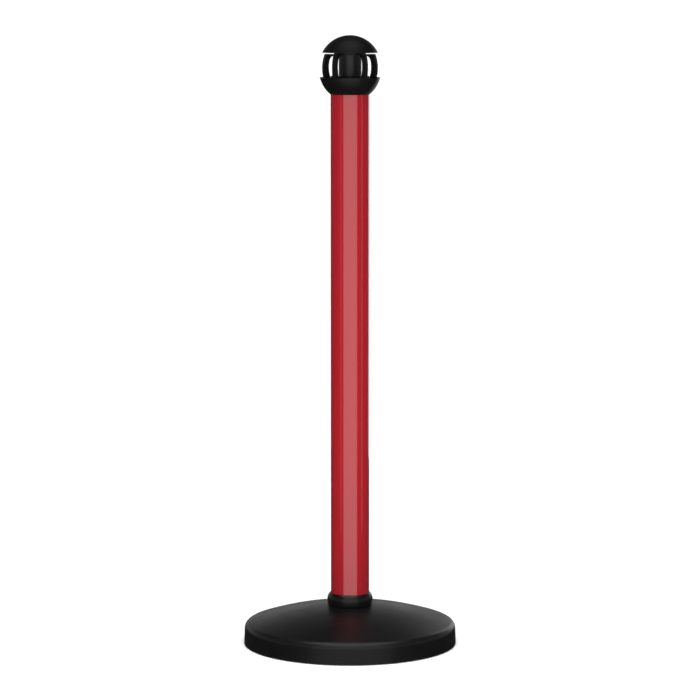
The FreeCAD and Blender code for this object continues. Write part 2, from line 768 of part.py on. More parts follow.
CLIP_START = MOUTH + " + mouth_depth + clip_gap"
CLIP_FACE = CLIP_START + " + clip_depth"
CLIP_LOW = "bowl_height + clip_lift"
CLIP_HIGH = DOME_LOW + " - clip_top_gap"
PIN_ALONG = CLIP_START + " + clip_pin_inset"
HINGE_ALONG = CLIP_FACE + " + tongue_barrel + tongue_gap"
HINGE_UP = CLIP_HIGH + " - ear_height / 2"


def make_end_clip():
    """The belt's end fitting, with two ears for the tongue's hinge."""
    body = doc.addObject("PartDesign::Body", "clip_body")
    height = CLIP_HIGH + " - (" + CLIP_LOW + ")"
    shaped(body, "AdditiveBox", "clip_block", "-clip_width / 2", CLIP_START, CLIP_LOW,
           Length="clip_width", Width="clip_depth", Height=height)
    soften(body, "clip_rounding", "clip_round", upright)
    for name, across in (("left_ear", "-clip_width / 2"), ("right_ear", "clip_width / 2 - ear_thickness")):
        shaped(body, "AdditiveBox", name, across, CLIP_FACE + " - clip_round",
               CLIP_HIGH + " - ear_height", Length="ear_thickness",
               Width="clip_round + tongue_gap + 2 * tongue_barrel", Height="ear_height")
    shaped(body, "SubtractiveBox", "clip_slot", "-clip_slot / 2", CLIP_START + " - 1",
           BELT_LOW + " - reel_gap", Length="clip_slot", Width="clip_pin_inset + clip_slot / 2 + 1",
           Height="belt_width + 2 * reel_gap")
    shaped(body, "SubtractiveCylinder", "clip_pin_bore", "0", PIN_ALONG, CLIP_LOW + " + clip_pin_end",
           Radius="clip_pin_radius + clip_pin_gap", Height=height)
    across = "-clip_width / 2 - 1"
    shaped(body, "SubtractiveCylinder", "ear_bore", across, HINGE_ALONG, HINGE_UP,
           turn=(FreeCAD.Vector(0, 1, 0), 90), Radius="clip_pin_radius + clip_pin_gap",
           Height="clip_width + 2")
    body.Tip = body.Group[-1]
    keep(body, "clip_body", HEAD)

    pin = rod("clip_pin", "clip_pin_radius", "0", height + " - clip_lift")
    bind(pin, Placement__Base__y=PIN_ALONG)
    keep(pin, "clip_pin", HEAD + " + " + CLIP_LOW + " + clip_pin_end")

    hinge = doc.addObject("Part::Cylinder", "tongue_pin")
    hinge.Placement.Rotation = FreeCAD.Rotation(FreeCAD.Vector(0, 1, 0), 90)
    bind(hinge, Radius="clip_pin_radius", Height="clip_width")
    bind(hinge, Placement__Base__x="-clip_width / 2", Placement__Base__y=HINGE_ALONG)
    keep(hinge, "tongue_pin", HEAD + " + " + HINGE_UP)


def make_belt_tail():
    """The belt's end: a flat run out of the mouth, looped round the clip's pin."""
    body = doc.addObject("PartDesign::Body", "belt_tail")
    start = MOUTH
    bore = "clip_pin_radius + loop_gap"
    shaped(body, "AdditiveBox", "tail_run", "-belt_thickness / 2", start, BELT_LOW,
           Length="belt_thickness", Width=PIN_ALONG + " - (" + start + ")", Height="belt_width")
    shaped(body, "AdditiveCylinder", "tail_loop", "0", PIN_ALONG, BELT_LOW,
           Radius=bore + " + belt_thickness", Height="belt_width")
    shaped(body, "SubtractiveCylinder", "tail_bore", "0", PIN_ALONG, BELT_LOW + " - 1",
           Radius=bore, Height="belt_width + 2")
    body.Tip = body.Group[-1]
    keep(body, "belt_tail", HEAD)


def make_tongue():
    """The flat tongue that slips over a hook's tip; it hangs down while the belt is away."""
    body = doc.addObject("PartDesign::Body", "hook_tongue")
    width = "(clip_width - 2 * ear_thickness - 2 * tongue_gap)"
    shaped(body, "AdditiveBox", "tongue_plate", "-%s / 2" % width, HINGE_ALONG + " - tongue_thickness / 2",
           HINGE_UP + " - tongue_length", Length=width, Width="tongue_thickness", Height="tongue_length")
    low = value(HINGE_UP + " - tongue_length") + 0.1

    def low_corner(edge):
        level = edge.BoundBox.ZMax < low
        return level and abs(edge.tangentAt(edge.FirstParameter).y) > 0.999

    soften(body, "tongue_rounding", "tongue_round", low_corner)
    turn = (FreeCAD.Vector(0, 1, 0), 90)
    shaped(body, "AdditiveCylinder", "tongue_barrel", "-%s / 2" % width, HINGE_ALONG, HINGE_UP,
           turn=turn, Radius="tongue_barrel", Height=width)
    shaped(body, "SubtractiveBox", "tongue_eye", "-eye_width / 2", HINGE_ALONG + " - tongue_thickness",
           HINGE_UP + " - tongue_length + eye_margin", Length="eye_width",
           Width="2 * tongue_thickness", Height="eye_length")
    shaped(body, "SubtractiveCylinder", "tongue_bore", "-%s / 2 - 1" % width, HINGE_ALONG, HINGE_UP,
           turn=turn, Radius="clip_pin_radius + running_gap", Height=width + " + 2")
    body.Tip = body.Group[-1]
    keep(body, "hook_tongue", HEAD)


def make_dome():
    shelf = DOME_LOW + " + dome_plate_thickness + dome_plate_gap"
    rebate = DOME_PLATE + " + dome_plate_gap"
    inner = "(ball_radius - shell_wall)"
    shelf_radius = "sqrt(%s ^ 2 - (%s - (%s)) ^ 2)" % (inner, shelf, DOME_CENTRE)
    top = DOME_LOW + " + dome_height"
    body = turned("dome_cap", [
        (rebate, DOME_LOW),
        (DOME_RIM, DOME_LOW, "ball_radius"),
        ("0", top),
        ("0", top + " - shell_wall", "-" + inner),
        (shelf_radius, shelf),
        (rebate, shelf),
    ], HEAD)
    boss_edge = "(dome_screw_pitch + boss_radius)"
    boss_top = "%s + sqrt(ball_radius ^ 2 - %s ^ 2) - dome_boss_gap" % (DOME_CENTRE, boss_edge)
    boss = shaped(body, "AdditiveCylinder", "dome_boss", "dome_screw_pitch", "0", shelf,
                  Radius="boss_radius", Height=boss_top + " - (" + shelf + ")")
    repeat(body, "dome_bosses", [boss], 3)
    pilot = shaped(body, "SubtractiveCylinder", "dome_pilot", "dome_screw_pitch", "0", DOME_LOW,
                   Radius="screw_radius", Height="screw_length")
    repeat(body, "dome_pilots", [pilot], 3)

    plate_top = DOME_LOW + " + dome_plate_thickness"
    hub = "insert_radius + shell_wall"
    plate = turned("dome_plate", [
        ("insert_radius", DOME_LOW),
        (DOME_PLATE, DOME_LOW),
        (DOME_PLATE, plate_top),
        (hub, plate_top),
        (hub, DOME_LOW + " + insert_length"),
        ("insert_radius", DOME_LOW + " + insert_length"),
    ], HEAD)
    hole = shaped(plate, "SubtractiveCylinder", "plate_hole", "dome_screw_pitch", "0",
                  DOME_LOW + " - 1", Radius="screw_radius + screw_clearance",
                  Height="dome_plate_thickness + 2")
    repeat(plate, "plate_holes", [hole], 3)
    sink = shaped(plate, "SubtractiveCone", "plate_sink", "dome_screw_pitch", "0", DOME_LOW,
                  Radius1="screw_head", Radius2="screw_radius", Height="screw_head_height")
    repeat(plate, "plate_sinks", [sink], 3)
    ring("dome_insert", "spindle_radius", "insert_radius", DOME_LOW, DOME_LOW + " + insert_length", HEAD)


def make_screws():
    screws("cage_screws", 4, 45, CAGE_PITCH, "bowl_height", True, HEAD)
    screws("case_screws", 3, 30, CASE_PITCH, "bowl_height", True, HEAD)
    screws("dome_screws", 3, 0, "dome_screw_pitch", DOME_LOW, False, HEAD, countersunk=True)


def export_pieces():
    """Check every object and each sub-part, then write one STEP file per sub-part."""
    doc.recompute()
    for item in doc.Objects:
        if "Invalid" in item.State or "Error" in item.State:
            raise RuntimeError("%s is %s" % (item.Label, item.State))
    os.makedirs("parts", exist_ok=True)
    for item in pieces:
        if item.Shape.isNull() or not item.Shape.isValid() or not item.Shape.Solids:
            raise RuntimeError("%s has no valid solid" % item.Label)
    for item in pieces:
        item.Shape.exportStep("parts/%s.step" % item.Label)
        box = item.Shape.BoundBox
        print("%-18s %d solid(s) %9.1f mm3  z %.2f to %.2f" % (
            item.Label, len(item.Shape.Solids), item.Shape.Volume, box.ZMin, box.ZMax))


make_foot_ring()
make_base_weight()
make_base_cover()
make_base_fixings()
make_tube()
make_collar()
make_head_bowl()
make_hook_cage()
make_spring_case()
make_power_spring()
make_spindle()
make_reel()
make_belt_lead()
make_belt_mouth()
make_end_clip()
make_belt_tail()
make_tongue()
make_dome()
make_screws()
export_pieces()
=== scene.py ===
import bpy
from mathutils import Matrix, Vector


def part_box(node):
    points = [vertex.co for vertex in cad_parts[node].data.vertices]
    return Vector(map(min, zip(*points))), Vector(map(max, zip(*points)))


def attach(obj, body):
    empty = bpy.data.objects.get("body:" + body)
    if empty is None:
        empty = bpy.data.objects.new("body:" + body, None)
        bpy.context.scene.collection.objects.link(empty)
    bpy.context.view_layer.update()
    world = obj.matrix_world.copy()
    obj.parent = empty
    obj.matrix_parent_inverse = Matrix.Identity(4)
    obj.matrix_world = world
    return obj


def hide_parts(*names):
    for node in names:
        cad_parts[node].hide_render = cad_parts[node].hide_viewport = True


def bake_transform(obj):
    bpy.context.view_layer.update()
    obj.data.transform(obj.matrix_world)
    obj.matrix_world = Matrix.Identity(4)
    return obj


bl_info = {
    "name": "Belt Post",
    "version": (1, 0, 0),
    "blender": (4, 5, 0),
    "location": "View3D > Sidebar > Belt Post",
    "description": "Finishes a free-standing belt post and winds its webbing",
    "category": "Object",
}

import math

import bpy
from bpy.props import FloatProperty, FloatVectorProperty, IntProperty, PointerProperty
from bpy.types import Operator, Panel, PropertyGroup
from mathutils import Vector

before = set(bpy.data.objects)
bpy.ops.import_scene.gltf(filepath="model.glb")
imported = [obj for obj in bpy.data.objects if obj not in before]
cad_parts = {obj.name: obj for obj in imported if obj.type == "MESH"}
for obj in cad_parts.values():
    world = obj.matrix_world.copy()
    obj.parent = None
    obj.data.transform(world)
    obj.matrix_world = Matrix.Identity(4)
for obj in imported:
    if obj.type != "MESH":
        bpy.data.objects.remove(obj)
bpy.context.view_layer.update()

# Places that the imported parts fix.
FOOT_LOW, FOOT_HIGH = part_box("rubber_foot_ring")
ROLL_LOW, ROLL_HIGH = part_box("belt_roll")
MOUTH_LOW, MOUTH_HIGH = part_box("belt_mouth")
PIN_LOW, PIN_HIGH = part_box("clip_pin")
BASE_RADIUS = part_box("base_cover")[1].x
ROLL_RADIUS = ROLL_HIGH.x
HOOK_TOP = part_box("hook_cage")[1].z
DOME_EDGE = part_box("dome_cap")[0].z
TONGUE_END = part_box("hook_tongue")[0].z


def inner_radius(node):
    """The smallest distance of a node's surface from the post's axis."""
    return min(math.hypot(vertex.co.x, vertex.co.y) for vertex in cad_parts[node].data.vertices)


# How the webbing runs: its bend at the mouth, the gaps it keeps, how far it laps the roll and the pin.
BEND_RADIUS = 0.003
MOUTH_GAP = 0.0004
JOIN_GAP = 0.0012
PIN_GAP = 0.00005
LAP_SINK = 0.02
ROLL_LAP = math.radians(75)
PIN_LAP = math.radians(20)
# Sections along each stretch of the run.
LAP_STEPS = 20
LEAD_STEPS = 14
BEND_STEPS = 8
MOUTH_STEPS = 4
DRAWN_STEPS = 48
SHIFT_STEPS = 8
PIN_STEPS = 20
FOOT_CHAMFER = 0.0005
# Share of a groove's pitch that its sloping side takes.
GROOVE_SLANT = 0.15
# Where the woven edge's rounding has its corners.
EDGE_TURNS = [math.radians(angle) for angle in (20, 45, 70, 90)]
STEPS_PER_RIB = 4
CORE_RADIUS = inner_radius("belt_roll")
FOOT_BORE = inner_radius("rubber_foot_ring")


class BeltPostWebbing(PropertyGroup):
    """Sizes of the belt."""

    thickness: FloatProperty(
        name="Thickness", description="Thickness of the webbing", default=0.00045, min=0.0002, unit="LENGTH")
    rib_pitch: FloatProperty(
        name="Rib pitch", description="Distance between the ribs that run along the webbing",
        default=0.0017, min=0.0005, unit="LENGTH")
    rib_depth: FloatProperty(
        name="Rib depth", description="Depth of the hollow between two ribs", default=0.00009, unit="LENGTH")
    pick_pitch: FloatProperty(
        name="Pick pitch", description="Distance between cross threads", default=0.0008, unit="LENGTH")
    edge: FloatProperty(
        name="Woven edge", description="Width of the rounded woven edge", default=0.0006, unit="LENGTH")
    turn_steps: IntProperty(
        name="Steps in a turn", description="Sections in each wound turn", default=48, min=12)


class BeltPostFoot(PropertyGroup):
    """Sizes of the rubber ring under the base."""

    grooves: IntProperty(name="Grooves", description="Grooves in the ring's underside", default=3, min=1)
    groove_depth: FloatProperty(
        name="Groove depth", description="Depth of each groove", default=0.0008, unit="LENGTH")
    steps: IntProperty(name="Steps", description="Sections round the ring", default=192, min=24)


class BeltPostColours(PropertyGroup):
    """Colours of the finishes."""

    coating: FloatVectorProperty(
        name="Tube coating", description="Colour of the coated tube", subtype="COLOR", size=3,
        default=(0.285, 0.0035, 0.0095), min=0, max=1)
    moulding: FloatVectorProperty(
        name="Moulding", description="Colour of the base cover, collar and head", subtype="COLOR", size=3,
        default=(0.0042, 0.0042, 0.0045), min=0, max=1)
    webbing: FloatVectorProperty(
        name="Webbing", description="Colour of the belt's threads", subtype="COLOR", size=3,
        default=(0.0055, 0.0055, 0.0065), min=0, max=1)


class BeltPostStage(PropertyGroup):
    """The camera and the studio."""

    distance: FloatProperty(
        name="Camera distance", description="From the post's axis to the camera, level", default=5.03,
        unit="LENGTH")
    height: FloatProperty(
        name="Camera height", description="Height of the camera", default=1.114, unit="LENGTH")
    aim: FloatProperty(
        name="Aim height", description="Height on the axis that the camera looks at", default=0.4875,
        unit="LENGTH")
    lens: FloatProperty(name="Lens", description="Focal length in millimetres", default=159.4)
    top: FloatProperty(name="Top light", description="Strength of the soft overhead light", default=3.3)
    horizon: FloatProperty(
        name="Horizon", description="Brightness of the pale band above the room's horizon", default=0.6)
    panel: FloatProperty(name="Softbox", description="Strength of the front softbox", default=1.9)


def pick(sockets, key):
    """A socket by its place, identifier or name."""
    if isinstance(key, int):
        return sockets[key]
    for socket in sockets:
        if socket.identifier == key:
            return socket
    return sockets[key]


class Wire:
    """An output socket that takes part in sums; each operator adds its Math node."""

    def __init__(self, paint, socket):
        self.paint = paint
        self.socket = socket

    def __add__(self, other):
        return self.paint.maths("ADD", self, other)

    def __radd__(self, other):
        return self.paint.maths("ADD", other, self)

    def __sub__(self, other):
        return self.paint.maths("SUBTRACT", self, other)

    def __rsub__(self, other):
        return self.paint.maths("SUBTRACT", other, self)

    def __mul__(self, other):
        return self.paint.maths("MULTIPLY", self, other)

    def __rmul__(self, other):
        return self.paint.maths("MULTIPLY", other, self)

    def __truediv__(self, other):
        return self.paint.maths("DIVIDE", self, other)


class Paint:
    """The node tree of one material or of the room."""

    def __init__(self, owner):
        owner.use_nodes = True
        self.owner = owner
        self.tree = owner.node_tree
        self.tree.nodes.clear()

    def node(self, kind, settings, sockets, out=0):
        """Add a node: its settings first, then the values or links of its sockets."""
        made = self.tree.nodes.new(kind)
        for name, chosen in settings.items():
            setattr(made, name, chosen)
        for key, given in sockets.items():
            socket = pick(made.inputs, key)
            if isinstance(given, Wire):
                self.tree.links.new(given.socket, socket)
            else:
                socket.default_value = given
        return Wire(self, pick(made.outputs, out)) if made.outputs else made

    def maths(self, operation, first, second=0.0):
        return self.node("ShaderNodeMath", {"operation": operation}, {0: first, 1: second})

    def here(self):
        """The point's place in the post's own frame."""
        return self.node("ShaderNodeTexCoord", {}, {}, "Object")

    def split(self, vector):
        split = self.node("ShaderNodeSeparateXYZ", {}, {0: vector}, "X").socket.node
        return [Wire(self, output) for output in split.outputs]

    def stretch(self, vector, x, y, z):
        return self.node("ShaderNodeVectorMath", {"operation": "MULTIPLY"}, {0: vector, 1: (x, y, z)})

    def noise(self, vector, scale, detail=3.0, roughness=0.5):
        sockets = {"Vector": vector, "Scale": scale, "Detail": detail, "Roughness": roughness}
        return self.node("ShaderNodeTexNoise", {"noise_dimensions": "3D"}, sockets, 0)

    def ease(self, wire, low, high):
        """0 up to low, 1 from high, and a smooth change between."""
        sockets = {"Value": wire, "From Min": low, "From Max": high}
        return self.node("ShaderNodeMapRange", {"interpolation_type": "SMOOTHSTEP"}, sockets)

    def mix(self, share, first, second):
        """A colour between two colours."""
        sockets = {"Factor_Float": share, "A_Color": first, "B_Color": second}
        return self.node("ShaderNodeMix", {"data_type": "RGBA"}, sockets, "Result_Color")

    def bump(self, height, depth, normal=None):
        sockets = {"Height": height, "Distance": depth, "Strength": 1.0}
        if normal is not None:
            sockets["Normal"] = normal
        return self.node("ShaderNodeBump", {}, sockets)

    def surface(self, sockets):
        """Close the tree with the surface shader and return the material."""
        shader = self.node("ShaderNodeBsdfPrincipled", {}, sockets)
        self.node("ShaderNodeOutputMaterial", {}, {"Surface": shader})
        return self.owner


def solid(colour, scale=1.0):
    """A socket's colour from three numbers."""
    return (colour[0] * scale, colour[1] * scale, colour[2] * scale, 1.0)


def new_paint(name):
    return Paint(bpy.data.materials.new(name))


def scratches(paint, here, across, along):
    """Thin broken lines: noise drawn out along the height and cut high."""
    lines = paint.noise(paint.stretch(here, across, across, along), 1.0, 2.0)
    return paint.ease(lines, 0.66, 0.74)


def moulded(name, colour, roughness, grain, depth, wear=None, specular=0.14):
    """Injection-moulded plastic: fine grain, faint flow marks, and scuffs where wear says."""
    paint = new_paint(name)
    here = paint.here()
    cloud = paint.noise(here, 14.0, 4.0)
    flow = paint.noise(paint.stretch(here, 60.0, 60.0, 9.0), 1.0, 3.0)
    fine = paint.noise(here, 1.0 / grain, 2.0, 0.6)
    speck = paint.ease(paint.noise(here, 520.0, 4.0, 0.7), 0.62, 0.74)
    tone = paint.mix(cloud, solid(colour, 0.5), solid(colour, 1.25))
    tone = paint.mix(speck * 0.20, tone, solid(colour, 6.0))
    rough = roughness + (cloud - 0.5) * 0.16 + (flow - 0.5) * 0.12 + (fine - 0.5) * 0.12
    if wear is not None:
        worn = wear(paint, here) * paint.ease(paint.noise(here, 160.0, 5.0, 0.7), 0.50, 0.66)
        tone = paint.mix(worn * 0.55, tone, solid(colour, 5.0))
        rough = rough + worn * 0.14
    normal = paint.bump(fine, depth, paint.bump(flow, depth * 1.5))
    return paint.surface({
        "Base Color": tone, "Roughness": rough, "Normal": normal, "Specular IOR Level": specular})


def rim_wear(paint, here):
    """The outer rim of the base, where feet and brooms reach."""
    x, y, z = paint.split(here)
    radius = paint.maths("SQRT", x * x + y * y)
    rim = paint.ease(radius, BASE_RADIUS - 0.016, BASE_RADIUS - 0.004)
    foot = 1.0 - paint.ease(z, 0.002, 0.010)
    band = paint.ease(z, 0.024, 0.034) * rim
    return paint.maths("MAXIMUM", band * 0.35, foot * 0.5)


def hook_wear(paint, here):
    """The tips of the hooks, which tongues rub."""
    z = paint.split(here)[2]
    tips = paint.ease(z, HOOK_TOP - 0.006, HOOK_TOP - 0.001)
    return tips * 0.7


def dome_wear(paint, here):
    """The lower edge of the dome."""
    z = paint.split(here)[2]
    return (1.0 - paint.ease(z, DOME_EDGE + 0.001, DOME_EDGE + 0.005)) * 0.6


def coated_tube(colour):
    """Powder coating under a clear gloss: a trace of orange peel and light rubbing at both ends."""
    paint = new_paint("tube_coating")
    here = paint.here()
    z = paint.split(here)[2]
    cloud = paint.noise(here, 6.0, 3.0)
    peel = paint.noise(here, 420.0, 2.0)
    fine = paint.noise(here, 2600.0, 1.0)
    ends = paint.maths("MAXIMUM", 1.0 - paint.ease(z, 0.09, 0.20), paint.ease(z, 0.86, 0.90))
    rubbed = scratches(paint, here, 900.0, 45.0) * (0.25 + ends * 0.75)
    tone = paint.mix(cloud, solid(colour, 0.94), solid(colour, 1.05))
    tone = paint.mix(rubbed * 0.12, tone, solid((0.55, 0.20, 0.20)))
    rough = 0.34 + (cloud - 0.5) * 0.08 + rubbed * 0.12
    normal = paint.bump(peel, 0.0000035, paint.bump(fine, 0.0000015))
    return paint.surface({
        "Base Color": tone, "Roughness": rough, "Normal": normal, "Specular IOR Level": 0.15,
        "Coat Weight": 1.0 - rubbed * 0.25, "Coat Roughness": 0.06, "Coat IOR": 1.5})


def cast_iron():
    """Sand-cast iron under a thin dip of dark paint."""
    paint = new_paint("base_casting")
    here = paint.here()
    sand = paint.noise(here, 900.0, 4.0, 0.65)
    lumps = paint.noise(here, 90.0, 3.0)
    rust = paint.ease(paint.noise(here, 60.0, 5.0, 0.7), 0.60, 0.72)
    tone = paint.mix(sand, solid((0.020, 0.020, 0.022)), solid((0.055, 0.054, 0.052)))
    tone = paint.mix(rust * 0.55, tone, solid((0.12, 0.045, 0.018)))
    normal = paint.bump(sand, 0.00012, paint.bump(lumps, 0.0006))
    return paint.surface({"Base Color": tone, "Roughness": 0.62 + sand * 0.2, "Normal": normal})


def rubber():
    """Black rubber with a grey bloom in its grain."""
    paint = new_paint("foot_rubber")
    here = paint.here()
    fine = paint.noise(here, 1500.0, 3.0)
    bloom = paint.ease(paint.noise(here, 35.0, 4.0), 0.45, 0.70)
    tone = paint.mix(bloom * 0.5 + fine * 0.2, solid((0.012, 0.012, 0.012)), solid((0.05, 0.048, 0.045)))
    return paint.surface({"Base Color": tone, "Roughness": 0.78 + fine * 0.12,
                          "Normal": paint.bump(fine, 0.00005)})


def turned_metal(name, colour, roughness, mark, stain):
    """Turned or rolled metal: close tool rings round the axis and a faint stain."""
    paint = new_paint(name)
    here = paint.here()
    x, y, z = paint.split(here)
    radius = paint.maths("SQRT", x * x + y * y)
    rings = paint.maths("SINE", (radius + z) * (2.0 * math.pi / mark)) * 0.5 + 0.5
    grit = paint.noise(paint.stretch(here, 300.0, 300.0, 2400.0), 1.0, 3.0)
    cloud = paint.noise(here, 140.0, 3.0)
    tone = paint.mix(paint.ease(cloud, 0.4, 0.7), solid(colour), solid(stain))
    rough = roughness + (grit - 0.5) * 0.14 + (cloud - 0.5) * 0.08
    normal = paint.bump(rings, 0.000006, paint.bump(grit, 0.000008))
    return paint.surface({"Base Color": tone, "Metallic": 1.0, "Roughness": rough, "Normal": normal})


def acetal():
    """Natural acetal, slightly waxy, with a greyer tone in random clouds."""
    paint = new_paint("bush_acetal")
    here = paint.here()
    cloud = paint.noise(here, 300.0, 3.0)
    fine = paint.noise(here, 3000.0, 2.0)
    tone = paint.mix(cloud, solid((0.76, 0.74, 0.68)), solid((0.66, 0.64, 0.58)))
    return paint.surface({"Base Color": tone, "Roughness": 0.35 + fine * 0.12,
                          "Normal": paint.bump(fine, 0.00001)})


def coated_steel():
    """Black-coated pressed steel, rubbed to the metal at the tongue's lower end."""
    paint = new_paint("tongue_coating")
    here = paint.here()
    z = paint.split(here)[2]
    fine = paint.noise(here, 2200.0, 3.0)
    chips = paint.ease(paint.noise(here, 700.0, 5.0, 0.7), 0.56, 0.62)
    worn = chips * (1.0 - paint.ease(z, TONGUE_END + 0.002, TONGUE_END + 0.012))
    tone = paint.mix(worn, solid((0.010, 0.010, 0.011)), solid((0.42, 0.41, 0.40)))
    return paint.surface({"Base Color": tone, "Metallic": worn, "Roughness": 0.36 + fine * 0.12,
                          "Normal": paint.bump(fine - worn * 0.8, 0.00002)})


def woven(name, colour, webbing, from_run):
    """Ribbed webbing. Along is the wound length of the roll, or the way out for the straight run."""
    paint = new_paint(name)
    here = paint.here()
    height = paint.split(here)[2]
    if from_run:
        along = paint.split(paint.node("ShaderNodeUVMap", {"uv_map": "weave"}, {}))[0]
    else:
        along = paint.split(here)[1]
    rib_number = height / webbing.rib_pitch
    row = paint.maths("FLOOR", rib_number * 2.0)
    rib = paint.maths("ABSOLUTE", paint.maths("SINE", rib_number * (2.0 * math.pi)))
    turn = along * (2.0 * math.pi / webbing.pick_pitch) + row * (0.5 * math.pi)
    pick_wave = paint.maths("SINE", turn) * 0.5 + 0.5
    thread = rib * (0.45 + pick_wave * 0.55)
    fuzz = paint.noise(here, 6000.0, 3.0, 0.7)
    cloud = paint.noise(here, 220.0, 3.0)
    # Painted shade: the tone follows the threads' relief, dark in the hollows between ribs and picks and
    # lighter on their crests; the fuzz adds a random tone.
    tone = paint.mix(thread * 0.7 + fuzz * 0.3, solid(colour, 0.45), solid(colour, 1.7))
    tone = paint.mix(cloud * 0.25, tone, solid(colour, 2.4))
    normal = paint.bump(thread + fuzz * 0.25, 0.00004)
    return paint.surface({
        "Base Color": tone, "Roughness": 0.26 + (1.0 - thread) * 0.2, "Normal": normal,
        "Sheen Weight": 0.04, "Sheen Roughness": 0.4, "Specular IOR Level": 0.3})


def make_mesh(name, verts, faces, sharp=40.0):
    """A smooth-shaded object whose edges over the sharp angle stay crisp."""
    mesh = bpy.data.meshes.new(name)
    mesh.from_pydata(verts, [], faces)
    mesh.shade_smooth()
    mesh.set_sharp_from_angle(angle=math.radians(sharp))
    made = bpy.data.objects.new(name, mesh)
    bpy.context.scene.collection.objects.link(made)
    return made


def ring_faces(rings, count, closed):
    """Quads between rings of equal count, joined end to end if closed."""
    faces = []
    for ring in range(rings if closed else rings - 1):
        following = (ring + 1) % rings
        for corner in range(count):
            beside = (corner + 1) % count
            faces.append((ring * count + corner, following * count + corner,
                          following * count + beside, ring * count + beside))
    return faces


def sweep(name, path, outline):
    """Carry a closed outline of (aside, height) corners along a path on plan, with both ends capped."""
    verts = []
    lengths = []
    run = 0.0
    for index, place in enumerate(path):
        before = path[max(index - 1, 0)]
        after = path[min(index + 1, len(path) - 1)]
        forward = (after - before).normalized()
        run += (place - before).length
        lengths.append(run)
        for aside, height in outline:
            verts.append((place.x + forward.y * aside, place.y - forward.x * aside, height))
    count = len(outline)
    faces = ring_faces(len(path), count, False)
    faces.append(tuple(range(count)))
    faces.append(tuple(reversed(range(len(verts) - count, len(verts)))))
    made = make_mesh(name, verts, faces)
    weave = made.data.uv_layers.new(name="weave")
    for loop in made.data.loops:
        vertex = loop.vertex_index
        weave.data[loop.index].uv = (lengths[vertex // count], verts[vertex][2])
    return made


def lathe(name, outline, steps):
    """Turn a closed outline of (radius, height) corners about the post's axis."""
    verts = []
    for step in range(steps):
        angle = 2.0 * math.pi * step / steps
        for radius, height in outline:
            verts.append((radius * math.cos(angle), radius * math.sin(angle), height))
    return make_mesh(name, verts, ring_faces(steps, len(outline), True))


def flat_outline(webbing):
    """The webbing's section where it is hidden: a flat strip with bevelled edges."""
    half = webbing.thickness / 2
    low, high = ROLL_LOW.z, ROLL_HIGH.z
    bevel = half * 0.8
    return [(half, low + bevel), (half, high - bevel), (half - bevel, high), (bevel - half, high),
            (-half, high - bevel), (-half, low + bevel), (bevel - half, low), (half - bevel, low)]


def ribbed_outline(webbing):
    """The webbing's section where it shows: ribs on both faces and rounded woven edges."""
    half = webbing.thickness / 2
    low, high = ROLL_LOW.z, ROLL_HIGH.z
    ribs = round((high - low - 2 * webbing.edge) / webbing.rib_pitch)
    count = ribs * STEPS_PER_RIB
    face = []
    for index in range(count + 1):
        share = index / count
        height = low + webbing.edge + (high - low - 2 * webbing.edge) * share
        hollow = webbing.rib_depth * (1.0 - abs(math.sin(math.pi * ribs * share)))
        face.append((half - hollow, height))
    cap = [(half * math.cos(turn), webbing.edge * math.sin(turn))
           for turn in EDGE_TURNS]
    top = [(aside, high - webbing.edge + rise) for aside, rise in cap]
    bottom = [(aside, low + webbing.edge - rise) for aside, rise in cap]
    right = list(reversed(bottom)) + face + top
    left = [(-aside, height) for aside, height in reversed(right) if aside > half * 0.01]
    return right + left


def circle_points(centre, radius, first, last, steps):
    """Points on an arc on plan; angles in radians from +X."""
    return [centre + Vector((math.cos(turn), math.sin(turn))) * radius
            for turn in [first + (last - first) * step / steps for step in range(steps + 1)]]


def line_points(start, end, steps):
    return [start.lerp(end, step / steps) for step in range(steps)]


def tangent_angle(radius, goal):
    """Where a line from a goal on +Y touches a circle about the axis, on the +X side."""
    return math.pi / 2 - math.acos(radius / goal)


def wound_path(webbing, wrap):
    """The spiral of all the wound turns but the last."""
    centre = Vector((0.0, 0.0))
    half = webbing.thickness / 2
    turns = (ROLL_RADIUS - CORE_RADIUS) / webbing.thickness - wrap
    steps = int(turns * webbing.turn_steps)
    points = []
    for step in range(steps + 1):
        turn = 2.0 * math.pi * step / webbing.turn_steps
        radius = CORE_RADIUS + half + webbing.thickness * step / webbing.turn_steps
        points.append(centre + Vector((math.cos(turn), math.sin(turn))) * radius)
    return points


def run_path(webbing):
    """Off the roll, across to the mouth, out through it and round the clip's pin."""
    centre = Vector((0.0, 0.0))
    half = webbing.thickness / 2
    circle = ROLL_RADIUS + half
    corner = Vector((0.0, MOUTH_LOW.y + MOUTH_GAP))
    leave = tangent_angle(circle, corner.y)
    wrap = circle_points(centre, circle, leave - ROLL_LAP, leave, LAP_STEPS)
    lead = (corner - wrap[-1]).normalized()
    bend = math.acos(lead.y)
    cut = BEND_RADIUS * math.tan(bend / 2)
    bend_centre = Vector((BEND_RADIUS, corner.y + cut))
    turn_in = circle_points(bend_centre, BEND_RADIUS, math.pi + bend, math.pi, BEND_STEPS)
    start = Vector((0.0, MOUTH_HIGH.y))
    joined = Vector((0.0, PIN_LOW.y - JOIN_GAP))
    pin = Vector((0.0, (PIN_LOW.y + PIN_HIGH.y) / 2))
    loop = (PIN_HIGH.x - PIN_LOW.x) / 2 + PIN_GAP + half
    path = wrap[:-1] + line_points(wrap[-1], turn_in[0], LEAD_STEPS) + turn_in[:-1]
    path += line_points(turn_in[-1], start, MOUTH_STEPS) + line_points(start, joined, DRAWN_STEPS)
    for step in range(SHIFT_STEPS + 1):
        share = step / SHIFT_STEPS
        path.append(Vector((-loop * share * share * (3 - 2 * share), joined.y + (pin.y - joined.y) * share)))
    path += circle_points(pin, loop, math.pi, -PIN_LAP, PIN_STEPS)[1:]
    return path, start, joined


